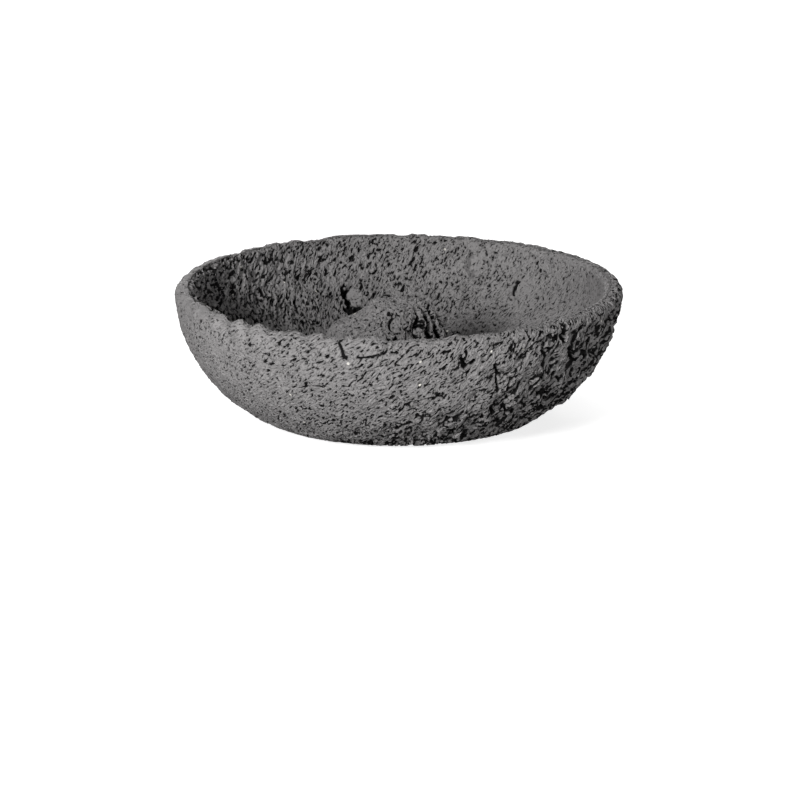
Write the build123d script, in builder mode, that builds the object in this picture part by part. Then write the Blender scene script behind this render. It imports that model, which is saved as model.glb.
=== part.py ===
from build123d import *
from math import cos, exp, pi, radians, sin, tau
import os

# Incense stick holder: a rough cast stone bowl that catches the ash, with a rock mound
# standing in it that holds one stick upright. The mound has a spigot underneath, which is
# bedded on mortar in a socket in the bowl's floor. Pads keep the stone off the table.
# Millimetres, +Z up. The origin is on the table, under the centre of the bowl. Turns round
# the bowl are in degrees from +X; the front is at -90.

# Overall size
bowl_diameter = 98.0
overall_height = 29.0

# Bowl outside: the flat base, the wall's outward bulge from its chord, the rounded rim
base_diameter = 61.0
base_edge_round = 2.0
outer_bulge = 4.1
rim_outer_round = 2.2

# Bowl inside: the rim's thickness and the flat floor, which runs into the wall without an edge
rim_width = 4.4
rim_inner_round = 1.5
floor_diameter = 49.0
floor_thickness = 6.9

# Cast relief on the walls: the distance between its lumps, and how deep its dips are where the
# wall is smoothest and, at the rough turn, roughest. It fades out at the rim, base and floor.
relief_pitch = 6.7
outer_dip_smooth = 0.3
outer_dip_rough = 1.3
outer_rough_turn = -10.0
inner_dip_smooth = 0.25
inner_dip_rough = 0.8
inner_rough_turn = 150.0

# Hollows that bubbles and chips left in the walls: the share of the way up the wall, the turn,
# the radius and the depth of each
outer_hollows = [(0.90, -72.4, 1.5, 1.4), (0.96, -43.3, 1.6, 1.6), (0.715, -54.6, 2.2, 0.8)]
inner_hollows = [(0.61, 104.6, 2.8, 1.3), (0.86, 67.6, 4.4, 0.8), (0.74, 50.6, 3.6, 0.7)]

# Rock mound: how far its foot, shoulder, step and level top reach to either side of the stick
# (-X is the left), and how deep they are from front to back. The left has a shelf at the
# shoulder, the right is steep.
mound_height = 17.6
mound_step_height = 14.0
mound_shoulder_height = 12.0
mound_foot_left = 18.6
mound_foot_right = 12.4
mound_foot_depth = 26.0
mound_shoulder_left = 15.2
mound_shoulder_right = 9.8
mound_shoulder_depth = 20.0
mound_step_left = 9.8
mound_step_right = 8.7
mound_step_depth = 15.6
mound_top_left = 5.8
mound_top_right = 7.0
mound_top_depth = 9.6

# Splits that run down the mound's flanks: the turn, the depth and the half width of each, and
# the dips between its lumps
mound_splits = [(-163, 0.9, 6), (-57, 1.0, 6), (-38, 1.7, 8), (-20, 1.1, 6), (25, 1.2, 8), (68, 1.0, 7)]
mound_dip = 0.7

# Crater in the front of the mound: how far it is to the left of the stick
crater_radius = 2.5
crater_depth = 1.1
crater_left = 0.4

# Stick bore, for sticks up to about 2.5 mm thick
stick_bore_diameter = 3.0
stick_bore_depth = 12.0

# Spigot under the mound, in its socket
spigot_diameter = 16.0
spigot_length = 2.5
spigot_gap = 0.3
mortar_thickness = 0.8

# Foot pads, stuck in shallow recesses in the base
pad_count = 3
pad_diameter = 10.0
pad_thickness = 1.5
pad_stand_off = 0.6
pad_gap = 0.2
pad_edge_margin = 6.0  # from the recess to the edge of the base

# Radii and levels that follow from these sizes
bowl_radius = bowl_diameter / 2
base_radius = base_diameter / 2
floor_radius = floor_diameter / 2
inner_radius = bowl_radius - rim_width
base_z = pad_stand_off
floor_z = base_z + floor_thickness
outer_shoulder_z = overall_height - rim_outer_round
inner_shoulder_z = overall_height - rim_inner_round
mound_top_z = floor_z + mound_height
spigot_radius = spigot_diameter / 2
socket_radius = spigot_radius + spigot_gap
socket_depth = spigot_length + mortar_thickness
socket_z = floor_z - socket_depth
pad_radius = pad_diameter / 2
pad_recess_radius = pad_radius + pad_gap
pad_recess_depth = pad_thickness - pad_stand_off
pad_circle_radius = base_radius - pad_edge_margin - pad_recess_radius
mound_outlines = [
    (0, mound_foot_left, mound_foot_right, mound_foot_depth),
    (mound_shoulder_height, mound_shoulder_left, mound_shoulder_right, mound_shoulder_depth),
    (mound_step_height, mound_step_left, mound_step_right, mound_step_depth),
    (mound_height, mound_top_left, mound_top_right, mound_top_depth),
]
spigot_centre = ((mound_foot_right - mound_foot_left) / 2, 0)

# How finely the relief is drawn: the points round a wall and up it, and round the mound
lump_count = round(tau * bowl_radius / relief_pitch)
ring_points = 4 * lump_count
ring_rows = 14
mound_points = 120

# Three crossing waves make the relief: the share of the lumps that each has round the bowl and
# up it, and where it starts
relief_waves = [(0.9, 0.35, 0.0), (0.65, -0.8, 1.3), (0.4, 0.9, 2.1)]


def wall_dip(turn, level, smooth, rough, rough_turn):
    waves = [
        sin(round(across * lump_count) * turn + up * tau * level / relief_pitch + start)
        for across, up, start in relief_waves
    ]
    depth = smooth + (rough - smooth) * (1 + cos(turn - radians(rough_turn))) / 2
    return depth * (1 - sum(waves) / len(waves)) / 2


def closed_curve(points):
    steps = [number / len(points) for number in range(len(points) + 1)]
    return Edge.make_spline(points, periodic=True, parameters=steps)


def wall_ring(place, fade, sense, smooth, rough, rough_turn):
    points = []
    for number in range(ring_points):
        turn = tau * number / ring_points
        reach = place.X - sense * fade * wall_dip(turn, place.Y, smooth, rough, rough_turn)
        points.append((reach * cos(turn), reach * sin(turn)))
    return closed_curve(points)


def mound_ring(level, left, right, depth):
    fade = 0.6 + 0.4 * sin(pi * level / mound_height)
    points = []
    for number in range(mound_points):
        turn = tau * number / mound_points
        dip = mound_dip * (1 - (sin(7 * turn + 1) + sin(11 * turn + 0.3 * level)) / 2) / 2
        for split_turn, split_depth, half_width in mound_splits:
            apart = (turn - radians(split_turn) + pi) % tau - pi
            dip += split_depth * exp(-((apart / radians(half_width)) ** 2))
        across, along = (left + right) / 2 - fade * dip, depth / 2 - fade * dip
        points.append(((right - left) / 2 + across * cos(turn), along * sin(turn)))
    return closed_curve(points)


def hollow_place(wall, sense, share, turn, radius, depth):
    on_wall, way = wall @ share, wall % share
    reach = on_wall.X + sense * (radius - depth) * way.Y
    level = on_wall.Y - sense * (radius - depth) * way.X
    return (reach * cos(radians(turn)), reach * sin(radians(turn)), level)


# The two walls' curves, drawn as radius and height
with BuildLine():
    outer_wall = SagittaArc((base_radius, base_z), (bowl_radius, outer_shoulder_z), -outer_bulge)
    inner_wall = TangentArc((floor_radius, floor_z), (inner_radius, inner_shoulder_z), tangent=(1, 0))
rows = [number / ring_rows for number in range(ring_rows + 1)]
outer_rings = [(outer_wall @ row, min(1, 5 * row, 5 - 5 * row)) for row in rows]
outer_rings.append((Vector(bowl_radius, overall_height), 0))
inner_rings = [(inner_wall @ row, min(1, 3 * row, 5 - 5 * row)) for row in rows]
inner_rings.append((Vector(inner_radius, overall_height), 0))

# The bowl's hollow, which the bowl is cut with
with BuildPart() as bowl_hollow:
    for place, fade in inner_rings:
        with BuildSketch(Plane.XY.offset(place.Y)):
            with BuildLine():
                add(wall_ring(place, fade, -1, inner_dip_smooth, inner_dip_rough, inner_rough_turn))
            make_face()
    loft()

# Bowl
with BuildPart() as bowl:
    for place, fade in outer_rings:
        with BuildSketch(Plane.XY.offset(place.Y)):
            with BuildLine():
                add(wall_ring(place, fade, 1, outer_dip_smooth, outer_dip_rough, outer_rough_turn))
            make_face()
    loft()
    fillet(bowl.edges().group_by(Axis.Z)[-1], rim_outer_round)
    fillet(bowl.edges().group_by(Axis.Z)[0], base_edge_round)
    add(bowl_hollow.part, mode=Mode.SUBTRACT)
    fillet(bowl.faces().sort_by(Axis.Z)[-1].inner_wires()[0].edges(), rim_inner_round)

    for share, turn, radius, depth in outer_hollows:
        with Locations(hollow_place(outer_wall, 1, share, turn, radius, depth)):
            Sphere(radius, mode=Mode.SUBTRACT)
    for share, turn, radius, depth in inner_hollows:
        with Locations(hollow_place(inner_wall, -1, share, turn, radius, depth)):
            Sphere(radius, mode=Mode.SUBTRACT)

    with BuildSketch(Plane.XY.offset(floor_z)):
        with Locations(spigot_centre):
            Circle(socket_radius)
    extrude(amount=-socket_depth, mode=Mode.SUBTRACT)

    with BuildSketch(Plane.XY.offset(base_z)):
        with PolarLocations(pad_circle_radius, pad_count):
            Circle(pad_recess_radius)
    extrude(amount=pad_recess_depth, mode=Mode.SUBTRACT)

# Rock mound, with its spigot and the stick's bore
with BuildPart() as stick_mound:
    for level, left, right, depth in mound_outlines:
        with BuildSketch(Plane.XY.offset(floor_z + level)):
            with BuildLine():
                add(mound_ring(level, left, right, depth))
            make_face()
    loft(ruled=True)
    crater_reach = (crater_radius - crater_depth) * sin(pi / 4)
    crater_y = -mound_step_depth / 2 - crater_reach
    with Locations((-crater_left, crater_y, floor_z + mound_step_height + crater_reach)):
        Sphere(crater_radius, mode=Mode.SUBTRACT)
    with BuildSketch(Plane.XY.offset(floor_z)):
        with Locations(spigot_centre):
            Circle(spigot_radius)
    extrude(amount=-spigot_length)
    with Locations((0, 0, mound_top_z)):
        Hole(stick_bore_diameter / 2, stick_bore_depth)

# Mortar bed, between the spigot and the bottom of its socket
with BuildPart() as mortar_bed:
    with BuildSketch(Plane.XY.offset(socket_z)):
        with Locations(spigot_centre):
            Circle(spigot_radius)
    extrude(amount=mortar_thickness)

os.makedirs("parts", exist_ok=True)
bowl.part.label = "bowl"
export_step(bowl.part, "parts/bowl.step")
stick_mound.part.label = "stick_mound"
export_step(stick_mound.part, "parts/stick_mound.step")
mortar_bed.part.label = "mortar_bed"
export_step(mortar_bed.part, "parts/mortar_bed.step")

# Foot pads, from the table up into their recesses
for number, place in enumerate(PolarLocations(pad_circle_radius, pad_count), start=1):
    with BuildPart() as foot_pad:
        with BuildSketch(Plane(place)):
            Circle(pad_radius)
        extrude(amount=pad_thickness)
    foot_pad.part.label = f"foot_pad_{number}"
    export_step(foot_pad.part, f"parts/foot_pad_{number}.step")
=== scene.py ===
"""Looks of the incense stick holder: a rough cast-stone bowl with a rock mound standing in it.

The shapes are worked out in millimetres and become metres when a mesh is finished. Turns round the
bowl start at +X, and its front is at -90 degrees.
"""
import logging
import math
from dataclasses import dataclass, field
from enum import Enum
from typing import Callable, Optional

import bmesh
import bpy
import numpy as np
from mathutils import Matrix, Vector, noise


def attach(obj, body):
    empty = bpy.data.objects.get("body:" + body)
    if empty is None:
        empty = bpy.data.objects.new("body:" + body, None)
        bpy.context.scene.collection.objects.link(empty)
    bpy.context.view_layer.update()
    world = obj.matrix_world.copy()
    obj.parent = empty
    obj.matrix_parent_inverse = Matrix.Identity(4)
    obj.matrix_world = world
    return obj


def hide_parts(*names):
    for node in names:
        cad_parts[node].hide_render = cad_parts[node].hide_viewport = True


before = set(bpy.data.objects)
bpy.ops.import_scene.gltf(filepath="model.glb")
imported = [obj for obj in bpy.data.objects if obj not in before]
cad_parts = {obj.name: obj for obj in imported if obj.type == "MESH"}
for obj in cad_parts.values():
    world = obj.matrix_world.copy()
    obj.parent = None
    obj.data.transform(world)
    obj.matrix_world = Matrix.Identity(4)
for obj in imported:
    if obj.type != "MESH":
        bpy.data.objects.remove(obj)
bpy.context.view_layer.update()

MM = 0.001
BODY = "root"
LOG = logging.getLogger("incense_holder")

# Edges that bend more than this stay sharp, and a cut this deep, in millimetres, is painted black
# inside, as painted shade.
SHARP_EDGE = math.radians(40.0)
BLACK_DEPTH = 0.6

# The noise that bends patterns follows this seed, and would follow the clock without it.
NOISE_SEED = 7

Span = tuple[float, float]
Triple = tuple[float, float, float]
Table = tuple[tuple[float, float], ...]
Depths = tuple[np.ndarray, np.ndarray, np.ndarray, np.ndarray]

# Settings that many nodes of the finishes share
SMOOTH = {"interpolation_type": "SMOOTHSTEP"}
UNCLAMPED = {"clamp": False}
COLOURS = {"data_type": "RGBA"}
TIMES = {"operation": "MULTIPLY"}
TIMES_PLUS = {"operation": "MULTIPLY_ADD"}
MINUS = {"operation": "SUBTRACT"}
LARGER = {"operation": "MAXIMUM"}
BELOW = {"operation": "LESS_THAN"}


def linear(hex_colour: str) -> tuple[float, float, float, float]:
    """Turns an sRGB hex value into a linear colour.

    Args:
        hex_colour: Six hex digits, with or without a leading #.

    Returns:
        Red, green, blue and an alpha of 1, linear.
    """
    digits = hex_colour.lstrip("#")
    channels = [int(digits[i:i + 2], 16) / 255 for i in (0, 2, 4)]
    parts = [c / 12.92 if c <= 0.04045 else ((c + 0.055) / 1.055) ** 2.4 for c in channels]
    return (*parts, 1.0)


def ease(low: float, high: float, values: np.ndarray) -> np.ndarray:
    """Rises smoothly from 0 at low to 1 at high, or falls where low is the larger."""
    share = np.clip((values - low) / (high - low), 0.0, 1.0)
    return share * share * (3.0 - 2.0 * share)


def wrapped(turn: np.ndarray) -> np.ndarray:
    """Brings angles in radians to between minus and plus half a turn."""
    return (turn + math.pi) % math.tau - math.pi


def around(angle: np.ndarray, table: Table) -> np.ndarray:
    """Reads a table of (degrees, value) at angles in radians, all the way round."""
    turns, values = zip(*table)
    return np.interp(np.degrees(angle), turns, values, period=360.0)


def sampled(source: Callable[[list[float]], float], coords: np.ndarray) -> np.ndarray:
    """Reads a noise function at every row of coords."""
    return np.fromiter((source(row) for row in coords.tolist()), float, len(coords))


def bumps(coords: np.ndarray) -> np.ndarray:
    """Reads a soft noise, from about -1 to 1, whose bumps are about 1 apart."""
    return sampled(noise.noise, coords)


def folds(coords: np.ndarray) -> np.ndarray:
    """Measures how far each point is from the creases of a folded noise: 0 in one, about 1 far off."""
    return np.abs(sampled(lambda row: noise.fractal(row, 0.9, 2.1, 2), coords)) * 2.0


def flecks(coords: np.ndarray, level: np.ndarray) -> tuple[np.ndarray, np.ndarray]:
    """Marks short chips with steep sides and the raised lips round them.

    Args:
        coords: The points, with chips about 1 apart.
        level: How few chips there are.

    Returns:
        1 inside a chip, and 1 on its lip.
    """
    side, lip_rise, lip_end = 0.13, (-0.3, -0.03), (0.05, 0.0)
    over = bumps(coords) - level
    return np.clip(over / side, 0.0, 1.0), ease(*lip_rise, over) * ease(*lip_end, over)


def plates(coords: np.ndarray, where: np.ndarray) -> tuple[np.ndarray, np.ndarray]:
    """Breaks a surface into plates that lean each their own way.

    Args:
        coords: The points, with plates about 1 apart.
        where: Which points need it.

    Returns:
        The width of the gap at each point, 0 in the middle of a crack, and how far the plate leans in
        there; 1 and 0 where it isn't needed.
    """
    spread = 7.3
    gaps, leans = np.ones(len(coords)), np.zeros(len(coords))
    for number in np.nonzero(where)[0].tolist():
        row = Vector(coords[number])
        near, middles = noise.voronoi(row)
        gaps[number] = near[1] - near[0]
        leans[number] = noise.cell_vector(middles[0] * spread).dot(row - middles[0])
    return gaps, leans


def warped(coords: np.ndarray, amount: float, size: float) -> np.ndarray:
    """Shifts coordinates by a soft noise, so that a pattern on them loses its regular look."""
    shifts = np.array([noise.noise_vector(row) for row in (coords / size).tolist()])
    return coords + amount * shifts


def node(tree: bpy.types.NodeTree, kind: str, settings: Optional[dict] = None,
         inputs: Optional[dict] = None) -> bpy.types.Node:
    """Adds a node, sets its properties and sets or links its inputs.

    Args:
        tree: The node tree.
        kind: The node's type name.
        settings: Properties of the node.
        inputs: Values, or sockets to link, by the input's name or number.

    Returns:
        The new node.
    """
    made = tree.nodes.new(kind)
    for name, value in (settings or {}).items():
        setattr(made, name, value)
    for name, value in (inputs or {}).items():
        if isinstance(value, bpy.types.NodeSocket):
            tree.links.new(value, made.inputs[name])
        else:
            made.inputs[name].default_value = value
    return made


def blank_material(name: str) -> tuple[bpy.types.Material, bpy.types.NodeTree]:
    """Starts a material with an empty node tree.

    Args:
        name: The material's name.

    Returns:
        The material and its tree.
    """
    material = bpy.data.materials.new(name)
    material.use_nodes = True
    material.node_tree.nodes.clear()
    return material, material.node_tree


def placed(name: str, data: bpy.types.ID) -> bpy.types.Object:
    """Puts a mesh, a camera or a lamp in the scene.

    Args:
        name: The object's name.
        data: What it shows.

    Returns:
        The object.
    """
    holder = bpy.data.objects.new(name, data)
    bpy.context.scene.collection.objects.link(holder)
    return holder


def finished(name: str, mesh: bpy.types.Mesh, material: bpy.types.Material,
             nodes: tuple[str, ...]) -> bpy.types.Object:
    """Puts a finished mesh in the scene as a piece that stands for CAD nodes.

    Args:
        name: The piece's name.
        mesh: Its mesh, in metres.
        material: Its material.
        nodes: The CAD nodes that it replaces.

    Returns:
        The piece's object.
    """
    mesh.name = name
    mesh.materials.clear()
    mesh.materials.append(material)
    piece = placed(name, mesh)
    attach(piece, BODY)
    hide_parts(*nodes)
    LOG.info("%s: %d faces", name, len(mesh.polygons))
    return piece


def modified(mesh: bpy.types.Mesh, *settings: dict) -> bpy.types.Mesh:
    """Runs a mesh through modifiers and returns the result as a new mesh.

    Args:
        mesh: The mesh, which is used up.
        settings: One dict per modifier: its type under "type", and its properties.

    Returns:
        The mesh that the modifiers make.
    """
    holder = placed("holder", mesh)
    for values in settings:
        modifier = holder.modifiers.new(values["type"], values["type"])
        for name, value in values.items():
            if name != "type":
                setattr(modifier, name, value)
    graph = bpy.context.evaluated_depsgraph_get()
    result = bpy.data.meshes.new_from_object(holder.evaluated_get(graph))
    bpy.data.objects.remove(holder)
    bpy.data.meshes.remove(mesh)
    return result


def meshed(shape: bmesh.types.BMesh, name: str) -> bpy.types.Mesh:
    """Turns a bmesh into a mesh.

    Args:
        shape: The bmesh, which is used up.
        name: The mesh's name.

    Returns:
        The mesh.
    """
    mesh = bpy.data.meshes.new(name)
    shape.to_mesh(mesh)
    shape.free()
    return mesh


def in_order(shape: bmesh.types.BMesh) -> bmesh.types.BMesh:
    """Copies a bmesh with its vertices and faces in an order that is the same each run.

    Spin and bridge_loops leave them in an order that changes from run to run, and the modifiers after
    them follow it.

    Args:
        shape: The bmesh, which is used up.

    Returns:
        The copy, with the numbers that its vertices carry.
    """
    copy = bmesh.new()
    layers = [(layer, copy.verts.layers.float.new(name)) for name, layer in shape.verts.layers.float.items()]
    twins = {}
    for vertex in sorted(shape.verts, key=lambda vertex: [round(part, 3) + 0.0 for part in vertex.co]):
        twins[vertex] = copy.verts.new(vertex.co)
        for source, target in layers:
            twins[vertex][target] = vertex[source]
    copy.verts.index_update()
    copy.verts.ensure_lookup_table()
    rings = []
    for face in shape.faces:
        ring = [twins[vertex].index for vertex in face.verts]
        first = ring.index(min(ring))
        rings.append(ring[first:] + ring[:first])
    for ring in sorted(rings):
        copy.faces.new([copy.verts[number] for number in ring])
    shape.free()
    return copy


def rows_of_three(source: bpy.types.bpy_prop_collection, name: str) -> np.ndarray:
    """Reads three numbers from every item of a mesh's collection.

    Args:
        source: The collection.
        name: The property with the three numbers.

    Returns:
        One row per item.
    """
    flat = np.empty(len(source) * 3, np.float32)
    source.foreach_get(name, flat)
    return flat.reshape(-1, 3).astype(float)


def point_values(mesh: bpy.types.Mesh, name: str) -> np.ndarray:
    """Reads a number stored on each vertex.

    Args:
        mesh: The mesh.
        name: The attribute.

    Returns:
        One number per vertex.
    """
    values = np.empty(len(mesh.vertices), np.float32)
    mesh.attributes[name].data.foreach_get("value", values)
    return values.astype(float)


def store_values(mesh: bpy.types.Mesh, name: str, values: np.ndarray) -> None:
    """Stores a number on each vertex."""
    layer = mesh.attributes.get(name) or mesh.attributes.new(name, "FLOAT", "POINT")
    layer.data.foreach_set("value", values.astype(np.float32))


def roughened(mesh: bpy.types.Mesh, place: np.ndarray, hollow: np.ndarray, dense: np.ndarray,
              inner_shade: np.ndarray, chips: np.ndarray) -> None:
    """Moves a mesh's vertices to their rough places and stores what the stone's finish reads.

    Args:
        mesh: The mesh.
        place: Each vertex's place, in millimetres.
        hollow: 1 where the mesh is cut deep, which the finish paints black there, as painted shade.
        dense: How many small chips there are.
        inner_shade: 1 on the skin that the finish paints darker, as painted shade.
        chips: The coordinates that lay the small chips out.
    """
    mesh.vertices.foreach_set("co", (place * MM).astype(np.float32).ravel())
    store_values(mesh, "hollow", hollow)
    store_values(mesh, "dense", dense)
    store_values(mesh, "inner_shade", inner_shade)
    layer = mesh.attributes.new("chips", "FLOAT_VECTOR", "POINT")
    layer.data.foreach_set("vector", chips.astype(np.float32).ravel())


@dataclass(frozen=True)
class StoneFinish:
    """Cast stone, left as it came from a rough mould: a matt grey crust whose chips and pores are painted
    black, as painted shade.

    It reads attributes of its piece: "hollow" is 1 where the mesh is cut deep and is painted black there,
    as painted shade, "chips" lays out the small chips, "dense" is how many of them there are, and
    "inner_shade" is 1 on the inner skin, which is painted darker, as painted shade.
    """

    name: str
    crust: str
    patch: str
    # The colour painted in deep cuts, chips and pores, as painted shade.
    hollow: str
    speck: str
    patch_mm: float = 5.0
    grain_mm: float = 0.45
    pore_mm: float = 0.55
    speck_mm: float = 6.0
    speck_share: float = 0.052
    chip_depth_mm: float = 0.45
    roughness: float = 0.92
    specular: float = 0.25
    sand_tone: Span = (0.9, 1.1)
    inner_shade_tone: float = 0.9
    few_level: float = 0.72
    many_level: float = 0.525
    chip_side: float = 0.06
    lip_span: Span = (-0.1, -0.01)
    lip_height: float = 0.7
    pore_span: Span = (0.66, 0.74)
    pore_shade: float = 0.8
    hollow_span: Span = (0.2, 0.6)
    block_scale: float = 0.5
    block_drift: float = 1.6
    block_span: Span = (0.8, 1.05)
    block_share: float = 0.8
    block_height: float = 2.1
    grain_height: float = 0.25
    swell_height: float = 4.2

    def material(self) -> bpy.types.Material:
        """Builds the material.

        Returns:
            A material that reads the attributes named above.
        """
        material, tree = blank_material(self.name)
        place = node(tree, "ShaderNodeTexCoord").outputs["Object"]
        laid = node(tree, "ShaderNodeAttribute", {"attribute_name": "chips"}).outputs["Vector"]
        dense = node(tree, "ShaderNodeAttribute", {"attribute_name": "dense"}).outputs["Fac"]
        inner_shade = node(tree, "ShaderNodeAttribute", {"attribute_name": "inner_shade"}).outputs["Fac"]
        depth = node(tree, "ShaderNodeAttribute", {"attribute_name": "hollow"}).outputs["Fac"]
        # Clouds of slightly paler and darker cement give the crust its uneven grey, and sand its grain.
        clouds = node(tree, "ShaderNodeTexNoise", inputs={
            "Vector": place, "Scale": 1 / (self.patch_mm * MM), "Detail": 4.0, "Roughness": 0.6})
        grain = node(tree, "ShaderNodeTexNoise", inputs={
            "Vector": place, "Scale": 1 / (self.grain_mm * MM), "Detail": 3.0, "Roughness": 0.7})
        crust = node(tree, "ShaderNodeMix", COLOURS, {
            0: clouds.outputs["Fac"], 6: linear(self.crust), 7: linear(self.patch)})
        sand = node(tree, "ShaderNodeMapRange", inputs={
            0: grain.outputs["Fac"], 1: 0.3, 2: 0.7, 3: self.sand_tone[0], 4: self.sand_tone[1]})
        # The inner skin is painted darker, as painted shade inside the bowl.
        skin = node(tree, "ShaderNodeMapRange", inputs={0: inner_shade, 1: 0.0, 2: 1.0, 3: 1.0, 4: self.inner_shade_tone})
        tone = node(tree, "ShaderNodeMath", TIMES, {0: sand.outputs[0], 1: skin.outputs[0]})
        grained = node(tree, "ShaderNodeMix", {**COLOURS, "blend_type": "MULTIPLY"}, {
            0: 1.0, 6: crust.outputs[2], 7: tone.outputs[0]})
        # Chips and pores too small for the mesh, and the mesh's deep cuts, are painted black inside, as
        # painted shade. Where the chips crowd together on the outer skin, they part it into blocks.
        crumbs = node(tree, "ShaderNodeTexNoise", inputs={
            "Vector": laid, "Scale": 1.0, "Detail": 1.0, "Roughness": 0.4, "Distortion": 0.3})
        drift = node(tree, "ShaderNodeTexNoise", inputs={"Vector": laid, "Scale": 0.7, "Detail": 1.0})
        shifted = node(tree, "ShaderNodeVectorMath", TIMES_PLUS, {
            0: drift.outputs["Color"], 1: (self.block_drift,) * 3, 2: laid})
        blocks = node(tree, "ShaderNodeTexVoronoi", {"feature": "F1"}, {
            "Vector": shifted.outputs[0], "Scale": self.block_scale, "Randomness": 1.0})
        crowded = node(tree, "ShaderNodeMapRange", SMOOTH, {
            0: dense, 1: self.block_span[0], 2: self.block_span[1], 3: 0.0, 4: self.block_share})
        outer = node(tree, "ShaderNodeMath", MINUS, {0: 1.0, 1: inner_shade})
        coarse = node(tree, "ShaderNodeMath", TIMES, {0: crowded.outputs[0], 1: outer.outputs[0]})
        broken = node(tree, "ShaderNodeMix", {"data_type": "FLOAT"}, {
            0: coarse.outputs[0], 2: crumbs.outputs["Fac"], 3: blocks.outputs["Distance"]})
        level = node(tree, "ShaderNodeMapRange", UNCLAMPED, {
            0: dense, 1: 0.0, 2: 1.0, 3: self.few_level, 4: self.many_level})
        over = node(tree, "ShaderNodeMath", MINUS, {0: broken.outputs[0], 1: level.outputs[0]})
        chip = node(tree, "ShaderNodeMapRange", SMOOTH, {
            0: over.outputs[0], 1: 0.0, 2: self.chip_side, 3: 0.0, 4: 1.0})
        pores = node(tree, "ShaderNodeTexNoise", inputs={
            "Vector": place, "Scale": 1 / (self.pore_mm * MM), "Detail": 1.0, "Roughness": 0.5})
        pore = node(tree, "ShaderNodeMapRange", SMOOTH, {
            0: pores.outputs["Fac"], 1: self.pore_span[0], 2: self.pore_span[1], 3: 0.0, 4: self.pore_shade})
        cut = node(tree, "ShaderNodeMapRange", SMOOTH, {
            0: depth, 1: self.hollow_span[0], 2: self.hollow_span[1], 3: 0.0, 4: 1.0})
        small = node(tree, "ShaderNodeMath", LARGER, {0: chip.outputs[0], 1: pore.outputs[0]})
        black = node(tree, "ShaderNodeMath", LARGER, {0: small.outputs[0], 1: cut.outputs[0]})
        holed = node(tree, "ShaderNodeMix", COLOURS, {
            0: black.outputs[0], 6: grained.outputs[2], 7: linear(self.hollow)})
        # A few pale grains of sand show at the surface.
        sparks = node(tree, "ShaderNodeTexVoronoi", {"feature": "F1"}, {
            "Vector": place, "Scale": 1 / (self.speck_mm * MM), "Randomness": 1.0})
        near = node(tree, "ShaderNodeMath", BELOW, {0: sparks.outputs["Distance"], 1: self.speck_share})
        lit = node(tree, "ShaderNodeMix", COLOURS, {
            0: near.outputs[0], 6: holed.outputs[2], 7: linear(self.speck)})
        # The bump is turned over, so what adds to it is deep: the crust sinks towards its chips, most
        # where they are dense, and a raised lip runs round each.
        height = node(tree, "ShaderNodeMapRange", UNCLAMPED, {
            0: coarse.outputs[0], 1: 0.0, 2: 1.0, 3: 1.0, 4: self.block_height})
        heap = node(tree, "ShaderNodeMath", TIMES, {0: broken.outputs[0], 1: height.outputs[0]})
        swell = node(tree, "ShaderNodeMath", TIMES, {0: heap.outputs[0], 1: dense})
        rise = node(tree, "ShaderNodeMath", TIMES_PLUS, {
            0: grain.outputs["Fac"], 1: self.grain_height, 2: small.outputs[0]})
        lip = node(tree, "ShaderNodeMapRange", SMOOTH, {
            0: over.outputs[0], 1: self.lip_span[0], 2: self.lip_span[1], 3: 0.0, 4: self.lip_height})
        edged = node(tree, "ShaderNodeMath", MINUS, {0: rise.outputs[0], 1: lip.outputs[0]})
        relief = node(tree, "ShaderNodeMath", TIMES_PLUS, {
            0: swell.outputs[0], 1: self.swell_height, 2: edged.outputs[0]})
        bump = node(tree, "ShaderNodeBump", {"invert": True}, {
            "Strength": 1.0, "Distance": self.chip_depth_mm * MM, "Height": relief.outputs[0]})
        shader = node(tree, "ShaderNodeBsdfPrincipled", inputs={
            "Base Color": lit.outputs[2], "Roughness": self.roughness, "IOR": 1.5,
            "Specular IOR Level": self.specular, "Normal": bump.outputs[0]})
        node(tree, "ShaderNodeOutputMaterial", inputs={0: shader.outputs[0]})
        # Grains that lean towards the lamp stay bright on the side that turns away from it.
        material.cycles.use_bump_map_correction = False
        return material


@dataclass(frozen=True)
class GrainedFinish:
    """A matt material of two close colours, with a fine grain that shows in its colour and relief."""

    name: str
    colour: str
    shade: str
    grain_mm: float
    grain_detail: float
    grain_depth_mm: float
    grain_strength: float
    roughness: float
    ior: float

    def material(self) -> bpy.types.Material:
        """Builds the material.

        Returns:
            The material.
        """
        material, tree = blank_material(self.name)
        place = node(tree, "ShaderNodeTexCoord").outputs["Object"]
        grain = node(tree, "ShaderNodeTexNoise", inputs={
            "Vector": place, "Scale": 1 / (self.grain_mm * MM), "Detail": self.grain_detail})
        colour = node(tree, "ShaderNodeMix", COLOURS, {
            0: grain.outputs["Fac"], 6: linear(self.colour), 7: linear(self.shade)})
        bump = node(tree, "ShaderNodeBump", inputs={
            "Strength": self.grain_strength, "Distance": self.grain_depth_mm * MM,
            "Height": grain.outputs["Fac"]})
        shader = node(tree, "ShaderNodeBsdfPrincipled", inputs={
            "Base Color": colour.outputs[2], "Roughness": self.roughness, "IOR": self.ior,
            "Normal": bump.outputs[0]})
        node(tree, "ShaderNodeOutputMaterial", inputs={0: shader.outputs[0]})
        return material


class Side(Enum):
    """The face of the bowl that a hollow or a crack is in."""

    OUTSIDE = "outside"
    INSIDE = "inside"


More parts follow.
